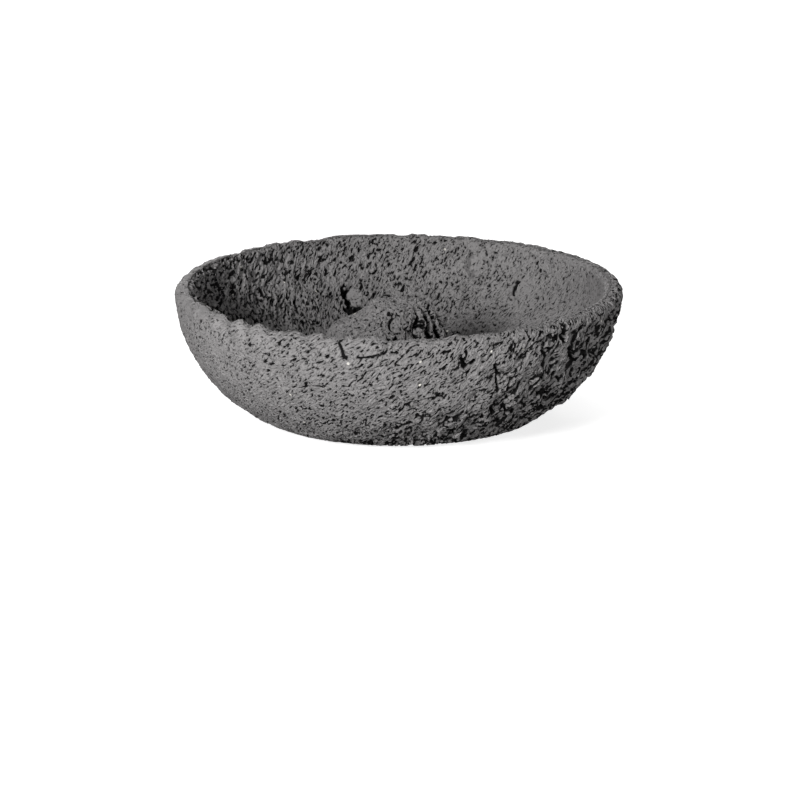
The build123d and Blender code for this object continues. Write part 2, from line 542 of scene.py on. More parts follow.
@dataclass(frozen=True)
class Hollow:
    """One large hollow that a bubble or a chip left in the bowl.

    The angle is in degrees round the bowl, the rest in millimetres. The floor of a slanted hollow
    sinks towards larger angles and upwards, by the shares in sinks, and a painted shadow, cut in too,
    runs along its deep edge. A hollow with a soft edge gets a shallow painted shade instead of one of
    its full depth; the painted shade of the others is as deep as the hollow, and black.
    """

    side: Side
    angle: float
    height: float
    width: float
    length: float
    depth: float
    edge: float = 0.2
    taper: float = 0.0
    sinks: Optional[Span] = None
    # The depth of the painted shadow along a slanted hollow's deep edge, and the edge and depth of the
    # painted shade in a soft-edged hollow.
    painted_edge_shadow: float = 0.6
    soft_edge: float = 0.6
    soft_shade: float = 0.35
    squareness: float = 2.6
    edge_wobble: float = 0.2
    wobble_mm: float = 1.2


@dataclass(frozen=True)
class Crack:
    """One long crack or slot in the wall of the bowl, along points of degrees and height."""

    line: Table
    width: float
    depth: float
    side: Side = Side.OUTSIDE
    sway: float = 0.5
    sway_mm: float = 1.4
    edge_wobble: float = 0.9
    wobble_mm: float = 0.9


@dataclass(frozen=True)
class CastRelief:
    """The shallow lumps of a wall, which the solid has too: three crossing waves."""

    smooth: float
    rough: float
    rough_turn: float
    pitch: float = 6.7
    lumps_round: int = 46
    waves: tuple[Triple, ...] = ((0.9, 0.35, 0.0), (0.65, -0.8, 1.3), (0.4, 0.9, 2.1))

    def dip(self, angle: np.ndarray, height: np.ndarray) -> np.ndarray:
        """Works out the depth of the dips between the lumps.

        Args:
            angle: The angle round the bowl, in radians.
            height: The height over the table.

        Returns:
            The depth, where the relief doesn't fade.
        """
        total = sum(
            np.sin(round(across * self.lumps_round) * angle + up * math.tau * height / self.pitch + start)
            for across, up, start in self.waves)
        turned = (1 + np.cos(angle - math.radians(self.rough_turn))) / 2
        depth = self.smooth + (self.rough - self.smooth) * turned
        return depth * (1 - total / len(self.waves)) / 2


@dataclass(frozen=True)
class Mark:
    """The marks of a pattern on a wall: their length and width, and their turn from level in degrees.

    The pattern is bent by the first share of a mark in warp, over the second number of marks.
    """

    length: float
    width: float
    lean: float = 0.0
    warp: Span = (0.3, 0.9)


@dataclass(frozen=True)
class OuterCrumb:
    """The crumbly outer skin: leaning chips, which part it into blocks where they are dense.

    The tables run round the bowl. A pair of a level or a depth is its value where there are no chips,
    and what full density adds or takes.
    """

    density: Table = ((-180, 0.3), (-150, 0.38), (-125, 0.56), (-100, 0.7), (-78, 0.82), (-55, 1.02),
                      (-20, 1.14), (20, 1.05), (60, 0.85), (110, 0.65), (150, 0.45))
    lean: Table = ((-180, 30), (-110, 34), (-60, 44), (-20, 58), (40, 50), (120, 36))
    patch_mm: float = 6.0
    denser_in_patches: float = 0.14
    denser_low: float = 0.26
    low_span: Span = (20.0, 0.0)
    sparser_high: float = 0.08
    high_span: Span = (12.0, 24.0)
    sparser_at_rim: float = 0.2
    rim_span: Span = (-1.0, 1.5)
    chip: Mark = Mark(1.3, 0.66, warp=(0.25, 0.9))
    chip_level: Span = (0.52, 0.26)
    chip_depth: Span = (0.35, 0.3)
    small_chip: Mark = Mark(1.1, 0.5)
    lip: float = 0.14
    block: Mark = Mark(2.5, 1.7, 62.0, (0.3, 0.8))
    block_span: Span = (0.82, 1.05)
    block_least: float = 0.02
    block_chips: float = 0.85
    block_sink: float = 0.1
    block_lean: float = 0.4
    block_round: float = 0.25
    block_round_span: Span = (0.45, 0.0)
    gap_mm: float = 1.8
    gap_width: float = 0.26
    gap_span: Span = (0.0, 0.4)
    gap_side: float = 0.08
    crack: Mark = Mark(11.0, 3.4, 16.0, (0.12, 0.35))
    crack_half_width: float = 0.05
    crack_side: float = 0.03
    crack_depth: float = 0.6
    crack_patch_span: Span = (0.1, 0.2)
    crack_height_span: Span = (22.0, 17.0)
    crumb: Mark = Mark(1.9, 1.1, 50.0)
    crumb_height: Span = (0.1, 0.25)
    crumb_span: Span = (0.4, 0.8)


@dataclass(frozen=True)
class InnerBark:
    """The inner skin: upright grooves between ridges like bark, and fine pits.

    The table runs round the bowl. A pair of a level, a depth or a height is its value where there is
    no bark, and what full bark adds or takes.
    """

    amount: Table = ((-180, 1.15), (-150, 0.9), (-90, 0.6), (-30, 0.3), (0, 0.2), (50, 0.28), (70, 0.46),
                     (100, 0.6), (125, 0.76), (145, 0.9), (165, 1.1))
    patch_mm: float = 6.0
    more_in_patches: float = 0.12
    groove: Mark = Mark(1.9, 0.75, 58.0)
    groove_level: Span = (0.7, 0.48)
    groove_depth: Span = (0.35, 0.45)
    small_chip: Mark = Mark(1.0, 0.5, 58.0)
    chip_extra: float = 0.05
    chip_most: float = 1.1
    pit_mm: float = 0.7
    pit_level: Span = (0.47, 0.1)
    pit_span: Span = (0.2, 0.6)
    pit_depth: float = 0.4
    pit_lip: float = 0.08
    steep_span: Span = (0.7, 0.95)
    lump_marks: float = 1.4
    lump_middle: float = 0.3
    lump_height: Span = (0.6, 0.7)
    ridge_height: Span = (0.3, 0.2)


@dataclass(frozen=True)
class RaggedRim:
    """The broken edge of the rim, in steps with smaller breaks on them. The table runs round the bowl."""

    amount: Table = ((-180, 0.5), (-140, 1.1), (-95, 1.2), (-70, 0.5), (30, 0.2), (70, 0.3), (110, 0.5),
                     (150, 0.5))
    depth: float = 0.75
    stretch: float = 0.3
    step_mm: float = 4.2
    step_span: Span = (-0.1, 0.35)
    breaks: Table = ((0.6, 2.1), (0.3, 0.9))
    outer_span: Span = (-3.0, 1.0)
    inner_span: Span = (2.0, -0.5)


@dataclass
class Bowl:
    """The rough bowl, turned from a profile and eaten away from its smooth outer skin inwards."""

    radius: float = 49.0
    height: float = 29.0
    base_z: float = 0.6
    base_radius: float = 30.5
    outer_bulge: float = 4.6
    outer_round: float = 2.2
    rim_width: float = 4.4
    inner_round: float = 1.5
    inner_bulge: float = 5.85
    floor_radius: float = 24.5
    floor_z: float = 7.5
    spin_steps: int = 100
    splits: int = 4
    face_budget: int = 197000
    socket_x: float = -3.1
    socket_radius: float = 8.3
    socket_z: float = 4.2
    pad_count: int = 3
    pad_circle: float = 19.3
    recess_radius: float = 5.2
    recess_top: float = 1.5
    plug_corners: int = 96
    plug_overlap: float = 2.0
    crust_depth: float = 0.15
    crust_waves: Table = ((0.12, 5.0), (0.12, 1.7))
    flat_base_span: Span = (3.0, -0.5)
    flat_floor_span: Span = (-4.0, 6.0)
    flat_share: float = 0.8
    inner_shade_span: Span = (-0.5, 1.5)
    densest: float = 1.2
    crumb: OuterCrumb = OuterCrumb()
    bark: InnerBark = InnerBark()
    rim: RaggedRim = RaggedRim()
    outer_relief: CastRelief = CastRelief(0.3, 1.3, -10.0)
    inner_relief: CastRelief = CastRelief(0.25, 0.8, 150.0)
    hollows: tuple[Hollow, ...] = (
        # The three slanted hollows get a painted shadow along their deep edge; the others are painted dark
        # inside, as painted shade.
        Hollow(Side.INSIDE, 104.0, 16.0, 4.6, 4.6, 1.3, 0.12, 0.6, (0.9, 0.35)),
        Hollow(Side.INSIDE, 67.6, 23.1, 4.8, 5.4, 1.5, 0.3, 0.2, (0.9, 0.2), 0.32),
        Hollow(Side.INSIDE, 50.6, 19.6, 4.2, 3.4, 0.6, 0.15, 0.3, (0.9, 0.1)),
        Hollow(Side.OUTSIDE, -50.2, 23.2, 1.8, 1.8, 1.8, 0.4),
        Hollow(Side.OUTSIDE, -54.6, 17.6, 2.6, 2.2, 0.9, 0.9),
    )
    cracks: tuple[Crack, ...] = (
        Crack(((-105.1, 28.6), (-104.7, 27.2), (-103.7, 26.0), (-103.5, 24.4)), 1.2, 0.42),
        Crack(((-95.3, 9.2), (-90.3, 10.7), (-88.6, 12.9), (-85.7, 14.4), (-83.1, 15.1), (-79.0, 14.9)),
              0.55, 0.9),
        Crack(((-117.2, 16.1), (-113.4, 17.0), (-110.3, 17.1)), 0.4, 0.6),
        Crack(((-119.6, 10.7), (-113.7, 10.8)), 0.4, 0.6),
        Crack(((-100.4, 24.6), (-97.7, 24.9), (-95.2, 25.6)), 0.45, 0.6),
        Crack(((-84.8, 10.1), (-80.7, 9.9), (-78.7, 11.5)), 0.5, 0.7),
        Crack(((-90.6, 6.0), (-88.8, 7.5), (-86.4, 8.1)), 0.9, 0.9),
        Crack(((-64.8, 21.9), (-63.4, 18.2), (-62.8, 15.1)), 0.8, 1.0),
        Crack(((-60.3, 26.9), (-59.7, 25.7), (-58.3, 26.9)), 0.6, 0.9),
        Crack(((-59.7, 25.7), (-59.6, 24.3)), 0.6, 0.9),
        Crack(((-55.8, 28.5), (-55.3, 26.7), (-55.8, 25.0)), 0.6, 0.9),
        Crack(((-53.1, 26.9), (-51.6, 28.3)), 0.6, 0.9),
        Crack(((-43.2, 28.5), (-44.1, 26.7), (-43.7, 24.5)), 1.5, 2.2),
        Crack(((-40.8, 22.5), (-39.3, 20.6), (-36.5, 18.5)), 1.2, 1.5),
        Crack(((-60.0, 15.1), (-59.6, 17.2), (-57.6, 18.7)), 0.8, 1.0),
        Crack(((-39.3, 9.1), (-35.5, 10.2)), 0.9, 1.0),
        Crack(((-74.2, 23.9), (-73.0, 22.0), (-70.8, 23.6)), 1.1, 1.6),
        Crack(((-73.0, 25.6), (-73.7, 23.8)), 0.6, 0.9),
        # The next two are cut, and painted black as painted shadow, along the left edge of the hollow at 104
        # degrees and the dark scoop under it; the one after them, shallow, is painted shade at the left edge
        # of the hollow at 67.6 degrees.
        Crack(((107.2, 17.6), (107.0, 16.8), (106.7, 15.8), (106.0, 14.9)), 2.0, 1.4, Side.INSIDE),
        Crack(((107.6, 13.9), (106.3, 13.4), (104.9, 13.5), (103.6, 14.0)), 1.3, 1.2, Side.INSIDE),
        Crack(((69.0, 25.4), (69.6, 23.8), (69.4, 22.1), (68.6, 21.0)), 2.2, 0.22, Side.INSIDE),
        Crack(((53.1, 21.0), (53.2, 19.6), (52.8, 18.0)), 0.55, 0.6, Side.INSIDE),
        Crack(((53.0, 21.2), (50.6, 21.3), (48.4, 20.6)), 0.3, 0.25, Side.INSIDE),
    )
    marks: dict[str, float] = field(default_factory=dict)

    def stretches(self) -> list[tuple[str, Span, Span, float, int]]:
        """Lists the profile's stretches, from the base's centre round the rim to the floor's centre.

        Returns:
            For each its name, start, end, bulge to the right and number of rows before splitting.
        """
        quarter = 1 - math.cos(math.pi / 4)
        inner = self.radius - self.rim_width
        points = [
            (0.0, self.base_z), (self.base_radius, self.base_z),
            (self.radius, self.height - self.outer_round),
            (self.radius - self.outer_round, self.height),
            (inner + self.inner_round, self.height),
            (inner, self.height - self.inner_round),
            (self.floor_radius, self.floor_z), (0.0, self.floor_z)]
        names = ("base", "outer_wall", "outer_round", "crest", "inner_round", "inner_wall", "floor")
        bulges = (0.0, self.outer_bulge, self.outer_round * quarter, 0.0, self.inner_round * quarter,
                  -self.inner_bulge, 0.0)
        rows = (3, 11, 1, 1, 1, 11, 2)
        return list(zip(names, points[:-1], points[1:], bulges, rows))

    def profile(self) -> tuple[np.ndarray, np.ndarray]:
        """Draws the profile finely and marks where each stretch ends along it.

        Returns:
            The distance along the profile of each point, and the points as radius and height.
        """
        steps = 200
        drawn = [np.array([[0.0, self.base_z]])]
        ends = {}
        for name, start, end, bulge, _ in self.stretches():
            first, last = np.array(start), np.array(end)
            share = np.linspace(0, 1, steps)[1:, None]
            chord = last - first
            across = np.array([chord[1], -chord[0]]) / np.linalg.norm(chord)
            half = np.linalg.norm(chord) / 2
            if bulge:
                reach = (half ** 2 + bulge ** 2) / (2 * abs(bulge))
                offset = np.sqrt(reach ** 2 - ((share - 0.5) * 2 * half) ** 2) - (reach - abs(bulge))
                drawn.append(first + chord * share + across * offset * math.copysign(1, bulge))
            else:
                drawn.append(first + chord * share)
            ends[name] = sum(len(part) for part in drawn) - 1
        points = np.vstack(drawn)
        along = np.concatenate([[0.0], np.cumsum(np.linalg.norm(np.diff(points, axis=0), axis=1))])
        self.marks = {name: float(along[index]) for name, index in ends.items()}
        return along, points

    def blank(self) -> bpy.types.Mesh:
        """Spins the profile into a mesh, whose vertices know their distance along it.

        Returns:
            The fine mesh, before any roughness.
        """
        along, points = self.profile()
        shape = bmesh.new()
        layer = shape.verts.layers.float.new("along")
        stops = [0.0]
        for name, *_, rows in self.stretches():
            stops += list(np.linspace(stops[-1], self.marks[name], rows + 1)[1:])
        previous = None
        for stop in stops:
            reach, level = (np.interp(stop, along, points[:, column]) for column in (0, 1))
            vertex = shape.verts.new((reach, 0, level))
            vertex[layer] = stop
            if previous:
                shape.edges.new((previous, vertex))
            previous = vertex
        bmesh.ops.spin(shape, geom=shape.verts[:] + shape.edges[:], cent=(0, 0, 0), axis=(0, 0, 1),
                       angle=math.tau, steps=self.spin_steps, use_merge=True)
        bmesh.ops.remove_doubles(shape, verts=shape.verts[:], dist=1e-4)
        bmesh.ops.recalc_face_normals(shape, faces=shape.faces[:])
        return modified(meshed(in_order(shape), "blank"), {
            "type": "SUBSURF", "subdivision_type": "SIMPLE", "levels": self.splits,
            "render_levels": self.splits})

    def eaten(self, angle: np.ndarray, along: np.ndarray, radius: np.ndarray,
              height: np.ndarray) -> Depths:
        """Works out how deep the crust is eaten away at each point.

        Args:
            angle: The angle round the bowl, in radians.
            along: The distance along the profile.
            radius: The distance from the bowl's axis.
            height: The height over the table.

        Returns:
            The depth of the waves, lumps and large hollows, that of the chips, pits and cracks, how
            dense the small chips are, and the coordinates that lay them out.
        """
        marks, crest = self.marks, self.marks["crest"]
        place = np.column_stack([radius * np.cos(angle), radius * np.sin(angle), height])
        waves = np.full(len(angle), self.crust_depth)
        for share, size in self.crust_waves:
            waves = waves + share * bumps(place / size)
        cuts = np.zeros(len(angle))
        dense = np.zeros(len(angle))
        chips = np.zeros((len(angle), 3))
        outside = along < crest
        up = along - marks["base"]
        down = along - crest
        # The cast relief fades out at the ends of both walls, as in the solid.
        share = up / (marks["outer_wall"] - marks["base"])
        fade = np.clip(np.minimum(5 * share, 5 - 5 * share), 0, 1)
        waves[outside] += (fade * self.outer_relief.dip(angle, height))[outside]
        share = (marks["inner_wall"] - along) / (marks["inner_wall"] - marks["inner_round"])
        fade = np.clip(np.minimum(3 * share, 5 - 5 * share), 0, 1)
        waves[~outside] += (fade * self.inner_relief.dip(angle, height))[~outside]
        for side, carve, run in ((outside, self.outer_crumb, up), (~outside, self.inner_bark, down)):
            lumps, cuts[side], dense[side], chips[side] = carve(angle[side], run[side], place[side])
            waves[side] += lumps
        waves = np.maximum(waves + self.ragged_rim(angle, along), 0.0)
        for hollow in self.hollows:
            side = outside if hollow.side is Side.OUTSIDE else ~outside
            inside, dent, shade = self.dent(hollow, angle[side], radius[side], height[side], place[side])
            # A hollow's painted shade takes the place of the chips in it, among the cuts that the finish
            # paints black.
            cuts[side] = np.maximum(cuts[side] * (1 - 0.9 * inside), shade)
            dense[side] -= 0.8 * inside
            waves[side] += dent
        for crack in self.cracks:
            side = outside if crack.side is Side.OUTSIDE else ~outside
            split = self.parted(crack, angle[side], radius[side], height[side], place[side])
            cuts[side] = np.maximum(cuts[side], split)
        return waves, cuts, dense, chips

    def leaning(self, angle: np.ndarray, along: np.ndarray, mark: Mark,
                lean: Optional[np.ndarray] = None) -> np.ndarray:
        """Lays the wall out as a drum, so that the marks of a noise on it get a length, width and lean.

        Args:
            angle: The angle round the bowl.
            along: The distance along the wall.
            mark: The marks.
            lean: The turn of the marks at each point, where it changes round the bowl.

        Returns:
            The coordinates for the noise, with marks about 1 apart.
        """
        turn = np.radians(mark.lean if lean is None else lean)
        length, width = mark.length, mark.width
        level = (length * np.cos(turn)) ** 2 + (width * np.sin(turn)) ** 2
        upright = (length * np.sin(turn)) ** 2 + (width * np.cos(turn)) ** 2
        cross = (length ** 2 - width ** 2) * np.cos(turn) * np.sin(turn)
        run = np.sqrt(level - cross ** 2 / upright)
        turned = angle - cross / upright * along / self.radius
        reach = self.radius / run
        return np.column_stack([reach * np.cos(turned), reach * np.sin(turned), along / np.sqrt(upright)])

    def outer_crumb(self, angle: np.ndarray, up: np.ndarray, place: np.ndarray) -> Depths:
        """Works out the leaning chips, blocks and cracks on the outside.

        Args:
            angle: The angle round the bowl.
            up: The distance up the wall from the base's edge.
            place: The points themselves.

        Returns:
            The depth of the lumps, that of the chips and cracks, how dense the small chips are, and the
            coordinates that lay them out.
        """
        skin = self.crumb
        wall = self.marks["outer_wall"] - self.marks["base"]
        patch = bumps(place / skin.patch_mm + 40.0)
        dense = around(angle, skin.density) + skin.denser_low * ease(*skin.low_span, up)
        dense = dense + skin.denser_in_patches * patch - skin.sparser_high * ease(*skin.high_span, up)
        dense = dense - skin.sparser_at_rim * ease(wall + skin.rim_span[0], wall + skin.rim_span[1], up)
        lean = around(angle, skin.lean)
        chips, lips = flecks(warped(self.leaning(angle, up, skin.chip, lean), *skin.chip.warp),
                             skin.chip_level[0] - skin.chip_level[1] * dense)
        blocky = ease(*skin.block_span, dense)
        gaps, leans = plates(warped(self.leaning(angle, up, skin.block), *skin.block.warp),
                             blocky > skin.block_least)
        wide = skin.gap_width * ease(*skin.gap_span, bumps(place / skin.gap_mm + 60.0))
        crevice = blocky * np.clip((wide - gaps) / skin.gap_side, 0.0, 1.0)
        chips = chips * (1 - skin.block_chips * blocky)
        lines = folds(warped(self.leaning(angle, up, skin.crack), *skin.crack.warp) + 7.0)
        crack = np.clip((skin.crack_half_width - lines) / skin.crack_side, 0.0, 1.0)
        crack = crack * ease(*skin.crack_patch_span, patch) * ease(*skin.crack_height_span, up)
        crumb = bumps(warped(self.leaning(angle, up, skin.crumb), *skin.crumb.warp) + 21.0)
        rounded = skin.block_round * ease(*skin.block_round_span, gaps)
        lumps = blocky * (skin.block_sink + skin.block_lean * leans + rounded)
        crumbly = skin.crumb_height[0] + skin.crumb_height[1] * ease(*skin.crumb_span, dense)
        lumps += crumbly * crumb - skin.lip * lips
        chips = chips * (skin.chip_depth[0] + skin.chip_depth[1] * np.clip(dense, 0, 1))
        cuts = np.maximum.reduce([chips, crevice, skin.crack_depth * crack])
        return lumps, cuts, dense, self.leaning(angle, up, skin.small_chip, lean)

    def inner_bark(self, angle: np.ndarray, down: np.ndarray, place: np.ndarray) -> Depths:
        """Works out the upright grooves and fine pits on the inside.

        Args:
            angle: The angle round the bowl.
            down: The distance down the wall from the rim.
            place: The points themselves.

        Returns:
            The depth of the lumps, that of the grooves and pits, how dense the small chips are, and the
            coordinates that lay them out.
        """
        skin = self.bark
        bark = around(angle, skin.amount) + skin.more_in_patches * bumps(place / skin.patch_mm + 40.0)
        full = np.clip(bark, 0, 1)
        coords = warped(self.leaning(angle, down, skin.groove), *skin.groove.warp)
        grooves, ridges = flecks(coords, skin.groove_level[0] - skin.groove_level[1] * bark)
        pits, lips = flecks(place / skin.pit_mm + 11.0,
                            skin.pit_level[0] - skin.pit_level[1] * ease(*skin.pit_span, bark))
        steep = ease(*skin.steep_span, bark)
        lumps = (skin.lump_height[0] + skin.lump_height[1] * steep) * full
        lumps = lumps * (skin.lump_middle + bumps(coords / skin.lump_marks + 5.0))
        ridges = (skin.ridge_height[0] + skin.ridge_height[1] * steep) * full * ridges
        lumps -= ridges + skin.pit_lip * lips
        grooves = grooves * (skin.groove_depth[0] + skin.groove_depth[1] * full)
        cuts = np.maximum(grooves, skin.pit_depth * pits)
        dense = np.minimum(bark + skin.chip_extra, skin.chip_most)
        return lumps, cuts, dense, self.leaning(angle, down, skin.small_chip)

    def ragged_rim(self, angle: np.ndarray, along: np.ndarray) -> np.ndarray:
        """Works out how far the rim's edge is broken away.

        Args:
            angle: The angle round the bowl.
            along: The distance along the profile.

        Returns:
            The depth, 0 away from the rim.
        """
        rim, outer, inner = self.rim, self.marks["outer_wall"], self.marks["inner_round"]
        turn = np.column_stack([self.radius * np.cos(angle), self.radius * np.sin(angle),
                                rim.stretch * along])
        steps = ease(*rim.step_span, bumps(turn / rim.step_mm + 3.0))
        for share, size in rim.breaks:
            steps = steps + share * bumps(turn / size)
        near = ease(outer + rim.outer_span[0], outer + rim.outer_span[1], along)
        near = near * ease(inner + rim.inner_span[0], inner + rim.inner_span[1], along)
        return rim.depth * around(angle, rim.amount) * near * steps

    def dent(self, hollow: Hollow, angle: np.ndarray, radius: np.ndarray, height: np.ndarray,
             place: np.ndarray) -> tuple[np.ndarray, np.ndarray, np.ndarray]:
        """Works out the depth of one large hollow.

        Args:
            hollow: The hollow.
            angle: The angle round the bowl.
            radius: The distance from the bowl's axis.
            height: The height over the table.
            place: The points themselves, for an uneven edge.

        Returns:
            Whether each point is inside, from 0 to 1, its depth under the smooth skin, and the depth of
            its painted shade, which is cut in too: a painted shadow along the deep edge of a slanted hollow,
            or the whole hollow otherwise.
        """
        across = wrapped(angle - math.radians(hollow.angle)) * radius / (hollow.width / 2)
        rise = (height - hollow.height) / (hollow.length / 2)
        narrow = 1 - hollow.taper * ease(0.3, -1.0, rise)
        power = hollow.squareness
        reach = (np.abs(across / narrow) ** power + np.abs(rise) ** power) ** (1 / power)
        near = reach < 1.6
        inside = np.zeros(len(angle))
        reach[near] += hollow.edge_wobble * bumps(place[near] / hollow.wobble_mm)
        inside[near] = ease(1.0, 1.0 - hollow.edge, reach[near])
        floor = np.ones(len(angle))
        # The painted shade is cut into the mesh and painted black: the whole hollow, a painted shadow along
        # the deep edge of a slanted one, or a shallow painted shade in a soft-edged one.
        shade = hollow.depth * inside
        if hollow.sinks:
            floor = np.clip(0.5 + 0.5 * (hollow.sinks[0] * across + hollow.sinks[1] * rise), 0.0, 1.0)
            shade = hollow.painted_edge_shadow * inside * ease(0.7, 0.82, reach) * ease(0.72, 0.86, floor)
        elif hollow.edge > hollow.soft_edge:
            shade = hollow.soft_shade * inside
        return inside, hollow.depth * inside * floor, shade

    def parted(self, crack: Crack, angle: np.ndarray, radius: np.ndarray, height: np.ndarray,
               place: np.ndarray) -> np.ndarray:
        """Works out the depth of one long crack.

        Args:
            crack: The crack.
            angle: The angle round the bowl.
            radius: The distance from the bowl's axis.
            height: The height over the table.
            place: The points themselves, for an uneven edge.

        Returns:
            The depth under the smooth skin, 0 away from the crack.
        """
        middle = math.radians(sum(turn for turn, _ in crack.line) / len(crack.line))
        turn = wrapped(angle - middle)
        across = turn * radius
        close = np.abs(turn) < 0.5
        across[close] += crack.sway * bumps(place[close] / crack.sway_mm)
        line = [((math.radians(degrees) - middle) * self.radius, level) for degrees, level in crack.line]
        apart = np.full(len(angle), np.inf)
        for (first_x, first_z), (last_x, last_z) in zip(line, line[1:]):
            run, rise = last_x - first_x, last_z - first_z
            share = ((across - first_x) * run + (height - first_z) * rise) / (run * run + rise * rise)
            share = np.clip(share, 0.0, 1.0)
            off = np.hypot(across - first_x - share * run, height - first_z - share * rise)
            apart = np.minimum(apart, off)
        depth = np.zeros(len(angle))
        near = apart < 2 * crack.width
        reach = apart[near] / (crack.width / 2) + crack.edge_wobble * bumps(place[near] / crack.wobble_mm)
        depth[near] = crack.depth * ease(1.0, 0.5, reach)
        return depth

    def build(self, material: bpy.types.Material) -> bpy.types.Object:
        """Makes the rough bowl.

        Args:
            material: Its finish.

        Returns:
            The piece.
        """
        mesh = self.blank()
        along_fine, points = self.profile()
        smooth = rows_of_three(mesh.vertices, "co")
        along = point_values(mesh, "along")
        angle = np.arctan2(smooth[:, 1], smooth[:, 0])
        # The crust is eaten away square to the profile, whose corners are rounded by a short blur.
        blur = 9
        slopes = np.gradient(points, along_fine, axis=0)
        slope_r, slope_z = (
            np.convolve(np.pad(slopes[:, column], blur // 2, "edge"), np.ones(blur) / blur, "valid")
            for column in (0, 1))
        radius = np.interp(along, along_fine, points[:, 0])
        height = np.interp(along, along_fine, points[:, 1])
        out_r = np.interp(along, along_fine, slope_z)
        out_z = -np.interp(along, along_fine, slope_r)
        length = np.maximum(np.hypot(out_r, out_z), 1e-6)
        waves, cuts, dense, chips = self.eaten(angle, along, radius, height)
        base, wall_end, crest = self.marks["base"], self.marks["inner_wall"], self.marks["crest"]
        flat = np.maximum(ease(base + self.flat_base_span[0], base + self.flat_base_span[1], along),
                          ease(wall_end + self.flat_floor_span[0], wall_end + self.flat_floor_span[1], along))
        depth = (waves + cuts) * (1 - self.flat_share * flat)
        radius = np.maximum(radius - depth * out_r / length, 0.0)
        height = height - depth * out_z / length
        # Deep cuts get painted shade in black, and the inner skin a darker painted shade.
        roughened(mesh, np.column_stack([radius * np.cos(angle), radius * np.sin(angle), height]),
                  np.clip(cuts / BLACK_DEPTH, 0, 1), np.clip(dense, 0, self.densest),
                  ease(crest + self.inner_shade_span[0], crest + self.inner_shade_span[1], along), chips)
        triangles = 2 * len(mesh.polygons)
        cutter = self.cutter()
        mesh = modified(mesh, {"type": "DECIMATE", "ratio": self.face_budget / triangles}, {
            "type": "BOOLEAN", "operation": "DIFFERENCE", "solver": "MANIFOLD", "object": cutter})
        bpy.data.meshes.remove(cutter.data)
        self.trim(mesh)
        mesh.shade_smooth()
        mesh.set_sharp_from_angle(angle=SHARP_EDGE)
        return finished("rough_bowl", mesh, material, ("bowl",))

    def trim(self, mesh: bpy.types.Mesh) -> None:
        """Takes out the doubled slivers that the cut leaves along its edges.

        Args:
            mesh: The mesh, which is changed.
        """
        shape = bmesh.new()
        shape.from_mesh(mesh)
        bmesh.ops.triangulate(shape, faces=[face for face in shape.faces if len(face.verts) > 3])
        slivers = [vertex for vertex in shape.verts if len(vertex.link_faces) < 3]
        bmesh.ops.delete(shape, geom=slivers, context="VERTS")
        shape.to_mesh(mesh)
        shape.free()

    def cutter(self) -> bpy.types.Object:
        """Makes the plugs that cut the mound's socket and the pads' recesses.

        Returns:
            An object that isn't shown, in metres.
        """
        plugs = [(self.socket_x, 0.0, self.socket_radius, self.socket_z, self.floor_z + self.plug_overlap)]
        for number in range(self.pad_count):
            turn = math.tau * number / self.pad_count
            plugs.append((self.pad_circle * math.cos(turn), self.pad_circle * math.sin(turn),
                          self.recess_radius, self.base_z - self.plug_overlap, self.recess_top))
        shape = bmesh.new()
        for x, y, radius, low, high in plugs:
            bmesh.ops.create_cone(shape, cap_ends=True, segments=self.plug_corners, radius1=radius,
                                  radius2=radius, depth=high - low,
                                  matrix=Matrix.Translation((x, y, (low + high) / 2)))
        bmesh.ops.scale(shape, vec=(MM, MM, MM), verts=shape.verts[:])
        return bpy.data.objects.new("plugs", meshed(shape, "plugs"))


@dataclass(frozen=True)
class Crater:
    """A small crater in the mound, deeper towards its upper left."""

    middle: Triple
    radius: float
    depth: float


